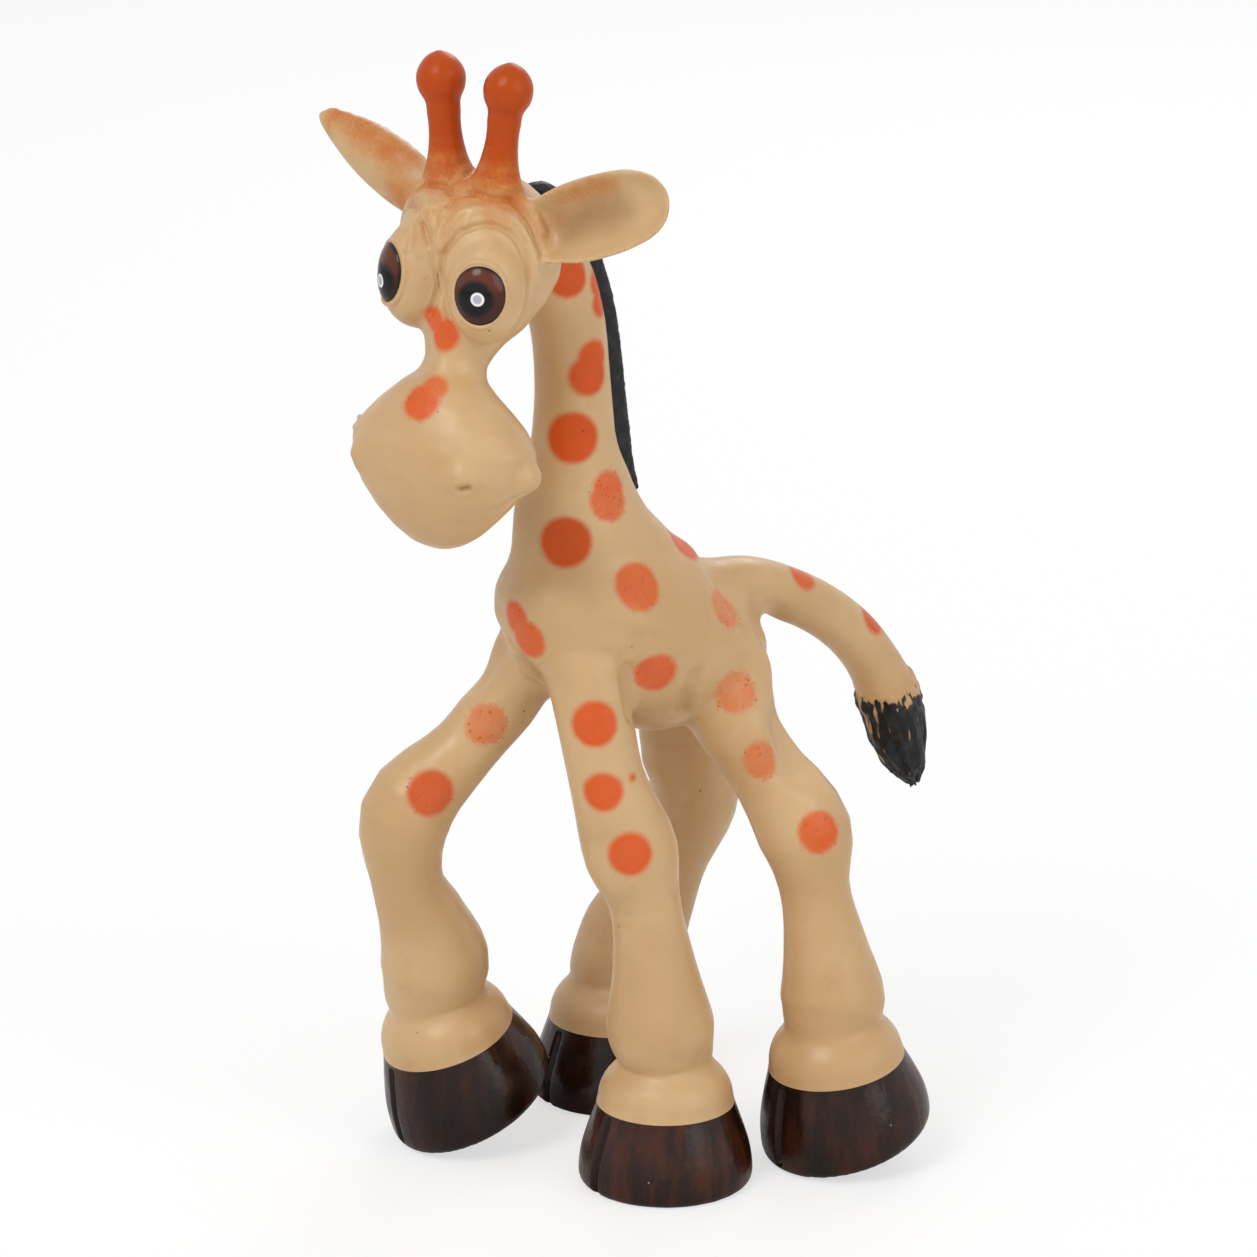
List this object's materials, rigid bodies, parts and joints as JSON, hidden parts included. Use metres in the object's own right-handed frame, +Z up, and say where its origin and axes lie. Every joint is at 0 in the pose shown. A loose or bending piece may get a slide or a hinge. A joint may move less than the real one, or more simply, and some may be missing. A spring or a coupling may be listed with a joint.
{
  "type": "toy giraffe",
  "caption": "Bendable toy giraffe standing on four splayed legs, long neck, turned head with big muzzle, horns, ears, dark mane, hooves and tail tuft, orange spots.",
  "frame": {"origin": "middle of the figure's bounding box, on the floor it stands on", "axes": "+Z up; the giraffe's chest faces -Y and its left side is +X"},
  "size_m": [0.0606, 0.0894, 0.1527],
  "materials": {
    "skin": "satin",
    "horn_paint": "satin",
    "mane_paint": "satin",
    "hoof_paint": "gloss",
    "eye_paint": "gloss",
    "wire_steel": "bright"
  },
  "bodies": {
    "torso": {"torso": "skin", "neck_base_bend": "skin", "tail_base_bend": "skin", "spine_wire": "wire_steel", "front_leg_wire": "wire_steel", "hind_leg_wire": "wire_steel", "front_left_shoulder_bend": "skin", "front_right_shoulder_bend": "skin", "hind_left_hip_bend": "skin", "hind_right_hip_bend": "skin"},
    "neck_lower": {"neck_lower": "skin", "neck_middle_bend": "skin"},
    "neck_upper": {"neck_upper": "skin", "neck_top_bend": "skin", "mane": "mane_paint"},
    "head": {"head": "skin", "eye_left": "eye_paint", "eye_right": "eye_paint", "horn_left": "horn_paint", "horn_right": "horn_paint", "ear_left": "skin", "ear_right": "skin"},
    "tail_upper": {"tail_upper": "skin", "tail_middle_bend": "skin"},
    "tail_end": {"tail_end": "skin", "tail_tuft": "mane_paint"},
    "front_left_upper": {"front_left_upper_leg": "skin", "front_left_knee_bend": "skin"},
    "front_left_lower": {"front_left_lower_leg": "skin", "front_left_fetlock_bend": "skin"},
    "front_left_foot": {"front_left_pastern": "skin", "front_left_hoof": "hoof_paint"},
    "front_right_upper": {"front_right_upper_leg": "skin", "front_right_knee_bend": "skin"},
    "front_right_lower": {"front_right_lower_leg": "skin", "front_right_fetlock_bend": "skin"},
    "front_right_foot": {"front_right_pastern": "skin", "front_right_hoof": "hoof_paint"},
    "hind_left_upper": {"hind_left_upper_leg": "skin", "hind_left_hock_bend": "skin"},
    "hind_left_lower": {"hind_left_lower_leg": "skin", "hind_left_fetlock_bend": "skin"},
    "hind_left_foot": {"hind_left_pastern": "skin", "hind_left_hoof": "hoof_paint"},
    "hind_right_upper": {"hind_right_upper_leg": "skin", "hind_right_hock_bend": "skin"},
    "hind_right_lower": {"hind_right_lower_leg": "skin", "hind_right_fetlock_bend": "skin"},
    "hind_right_foot": {"hind_right_pastern": "skin", "hind_right_hoof": "hoof_paint"}
  },
  "joints": [
    {"name": "neck_base", "type": "hinge", "parent": "torso", "child": "neck_lower", "pos_m": [0.00068, -0.0131, 0.0958], "axis": [1, 0, 0], "range_deg": [-20, 10], "deforming": ["neck_base_bend", "spine_wire", "mane"]},
    {"name": "neck_middle", "type": "hinge", "parent": "neck_lower", "child": "neck_upper", "pos_m": [0.00068, -0.01307, 0.10911], "axis": [0, 1, 0], "range_deg": [-20, 20], "deforming": ["neck_middle_bend", "spine_wire", "mane"]},
    {"name": "neck_top", "type": "hinge", "parent": "neck_upper", "child": "head", "pos_m": [0.00058, -0.01497, 0.12079], "axis": [1, 0, 0], "range_deg": [-15, 12], "deforming": ["neck_top_bend", "spine_wire", "mane"]},
    {"name": "tail_base", "type": "hinge", "parent": "torso", "child": "tail_upper", "pos_m": [0.00068, 0.02368, 0.07264], "axis": [1, 0, 0], "range_deg": [-20, 30], "deforming": ["tail_base_bend", "spine_wire"]},
    {"name": "tail_middle", "type": "hinge", "parent": "tail_upper", "child": "tail_end", "pos_m": [0.00068, 0.03391, 0.06469], "axis": [0, 0, 1], "range_deg": [-25, 25], "deforming": ["tail_middle_bend", "spine_wire"]},
    {"name": "front_left_shoulder", "type": "hinge", "parent": "torso", "child": "front_left_upper", "pos_m": [0.00937, -0.015, 0.06198], "axis": [-1, 0, 0], "range_deg": [0, 25], "deforming": ["front_left_shoulder_bend", "front_leg_wire"]},
    {"name": "front_left_knee", "type": "hinge", "parent": "front_left_upper", "child": "front_left_lower", "pos_m": [0.01085, -0.01123, 0.04751], "axis": [-1, 0, 0], "range_deg": [0, 25], "deforming": ["front_left_knee_bend", "front_leg_wire"]},
    {"name": "front_left_fetlock", "type": "hinge", "parent": "front_left_lower", "child": "front_left_foot", "pos_m": [0.011, -0.00552, 0.01931], "axis": [0, 1, 0], "range_deg": [-12, 12], "deforming": ["front_left_fetlock_bend", "front_leg_wire"]},
    {"name": "front_right_shoulder", "type": "hinge", "parent": "torso", "child": "front_right_upper", "pos_m": [-0.00741, -0.02091, 0.06188], "axis": [-1, 0, 0], "range_deg": [0, 25], "deforming": ["front_right_shoulder_bend", "front_leg_wire"]},
    {"name": "front_right_knee", "type": "hinge", "parent": "front_right_upper", "child": "front_right_lower", "pos_m": [-0.01171, -0.03114, 0.0502], "axis": [-1, 0, 0], "range_deg": [0, 25], "deforming": ["front_right_knee_bend", "front_leg_wire"]},
    {"name": "front_right_fetlock", "type": "hinge", "parent": "front_right_lower", "child": "front_right_foot", "pos_m": [-0.01672, -0.02475, 0.02339], "axis": [0, 1, 0], "range_deg": [-12, 12], "deforming": ["front_right_fetlock_bend", "front_leg_wire"]},
    {"name": "hind_left_hip", "type": "hinge", "parent": "torso", "child": "hind_left_upper", "pos_m": [0.01062, 0.00762, 0.05895], "axis": [1, 0, 0], "range_deg": [0, 25], "deforming": ["hind_left_hip_bend", "hind_leg_wire"]},
    {"name": "hind_left_hock", "type": "hinge", "parent": "hind_left_upper", "child": "hind_left_lower", "pos_m": [0.01521, 0.01389, 0.04653], "axis": [1, 0, 0], "range_deg": [0, 25], "deforming": ["hind_left_hock_bend", "hind_leg_wire"]},
    {"name": "hind_left_fetlock", "type": "hinge", "parent": "hind_left_lower", "child": "hind_left_foot", "pos_m": [0.01875, 0.01532, 0.02141], "axis": [0, 1, 0], "range_deg": [-12, 12], "deforming": ["hind_left_fetlock_bend", "hind_leg_wire"]},
    {"name": "hind_right_hip", "type": "hinge", "parent": "torso", "child": "hind_right_upper", "pos_m": [-0.00833, 0.01264, 0.05617], "axis": [1, 0, 0], "range_deg": [0, 25], "deforming": ["hind_right_hip_bend", "hind_leg_wire"]},
    {"name": "hind_right_hock", "type": "hinge", "parent": "hind_right_upper", "child": "hind_right_lower", "pos_m": [-0.01245, 0.01579, 0.04227], "axis": [1, 0, 0], "range_deg": [0, 25], "deforming": ["hind_right_hock_bend", "hind_leg_wire"]},
    {"name": "hind_right_fetlock", "type": "hinge", "parent": "hind_right_lower", "child": "hind_right_foot", "pos_m": [-0.01864, 0.00732, 0.01983], "axis": [0, 1, 0], "range_deg": [-12, 12], "deforming": ["hind_right_fetlock_bend", "hind_leg_wire"]}
  ]
}
